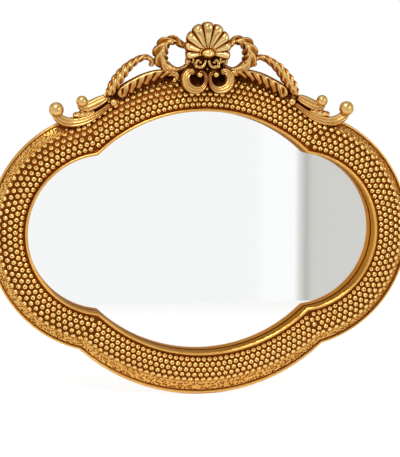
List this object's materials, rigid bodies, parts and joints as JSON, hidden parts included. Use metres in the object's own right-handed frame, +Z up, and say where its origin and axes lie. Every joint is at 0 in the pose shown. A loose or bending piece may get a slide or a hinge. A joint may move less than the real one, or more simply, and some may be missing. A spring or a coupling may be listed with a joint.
{
  "type": "wall mirror",
  "caption": "Oval wall mirror in an antique-gold cast frame with a beaded band and a crest of a scallop shell, acanthus leaves and scrolls, with turn buttons and D-rings behind.",
  "frame": {"origin": "centre of the frame's flat back face, where the back panel lies flush, on the mirror's midline", "axes": "+X to the viewer's right, +Z up, +Y towards the wall, so the mirror faces -Y"},
  "size_m": [0.383, 0.0405, 0.328],
  "materials": {
    "antique_gold": "antique gold paint, dark in the hollows, over cast resin",
    "clear_glass": "polished float glass",
    "silver_coat": "silvered, with backing paint",
    "packing_foam": "closed-cell foam sheet",
    "hardboard": "brown hardboard, smooth face out",
    "plated_steel": "zinc plated",
    "brass_plate": "brass plated",
    "black_rubber": "matt"
  },
  "bodies": {
    "frame": {"frame_casting": "antique_gold", "crest_shell": "antique_gold", "shell_boss": "antique_gold", "crest_drop": "antique_gold", "c_scroll_left": "antique_gold", "c_scroll_right": "antique_gold", "tendril_left": "antique_gold", "tendril_right": "antique_gold", "leaf_loop_left": "antique_gold", "leaf_loop_right": "antique_gold", "leaf_arch_left": "antique_gold", "leaf_arch_right": "antique_gold", "swag_leaf_left": "antique_gold", "swag_leaf_right": "antique_gold", "crest_bud_left": "antique_gold", "crest_bud_right": "antique_gold", "upper_volute_left": "antique_gold", "upper_volute_right": "antique_gold", "lower_volute_left": "antique_gold", "lower_volute_right": "antique_gold", "mirror_glass": "clear_glass", "silvering": "silver_coat", "packing_sheet": "packing_foam", "back_panel": "hardboard", "button_screws": "plated_steel", "hanger_strap_left": "brass_plate", "hanger_strap_right": "brass_plate", "hanger_screws": "brass_plate", "wall_bumpers": "black_rubber"},
    "button_top_right": {"turn_button_top_right": "plated_steel"},
    "button_top_left": {"turn_button_top_left": "plated_steel"},
    "button_side_left": {"turn_button_side_left": "plated_steel"},
    "button_bottom_left": {"turn_button_bottom_left": "plated_steel"},
    "button_bottom_right": {"turn_button_bottom_right": "plated_steel"},
    "button_side_right": {"turn_button_side_right": "plated_steel"},
    "ring_left": {"hanger_ring_left": "brass_plate"},
    "ring_right": {"hanger_ring_right": "brass_plate"}
  },
  "joints": [
    {"name": "button_top_right_turn", "type": "hinge", "parent": "frame", "child": "button_top_right", "pos_m": [0.045, 0.0008, 0.11609], "axis": [0, 1, 0], "continuous": true},
    {"name": "button_top_left_turn", "type": "hinge", "parent": "frame", "child": "button_top_left", "pos_m": [-0.045, 0.0008, 0.11609], "axis": [0, 1, 0], "continuous": true},
    {"name": "button_side_left_turn", "type": "hinge", "parent": "frame", "child": "button_side_left", "pos_m": [-0.1705, 0.0008, 0], "axis": [0, 1, 0], "continuous": true},
    {"name": "button_bottom_left_turn", "type": "hinge", "parent": "frame", "child": "button_bottom_left", "pos_m": [-0.045, 0.0008, -0.11609], "axis": [0, 1, 0], "continuous": true},
    {"name": "button_bottom_right_turn", "type": "hinge", "parent": "frame", "child": "button_bottom_right", "pos_m": [0.045, 0.0008, -0.11609], "axis": [0, 1, 0], "continuous": true},
    {"name": "button_side_right_turn", "type": "hinge", "parent": "frame", "child": "button_side_right", "pos_m": [0.1705, 0.0008, 0], "axis": [0, 1, 0], "continuous": true},
    {"name": "ring_left_swing", "type": "hinge", "parent": "frame", "child": "ring_left", "pos_m": [-0.1, 0.0025, 0.096], "axis": [1, 0, 0], "range_deg": [0, 178]},
    {"name": "ring_right_swing", "type": "hinge", "parent": "frame", "child": "ring_right", "pos_m": [0.1, 0.0025, 0.096], "axis": [1, 0, 0], "range_deg": [0, 178]}
  ]
}
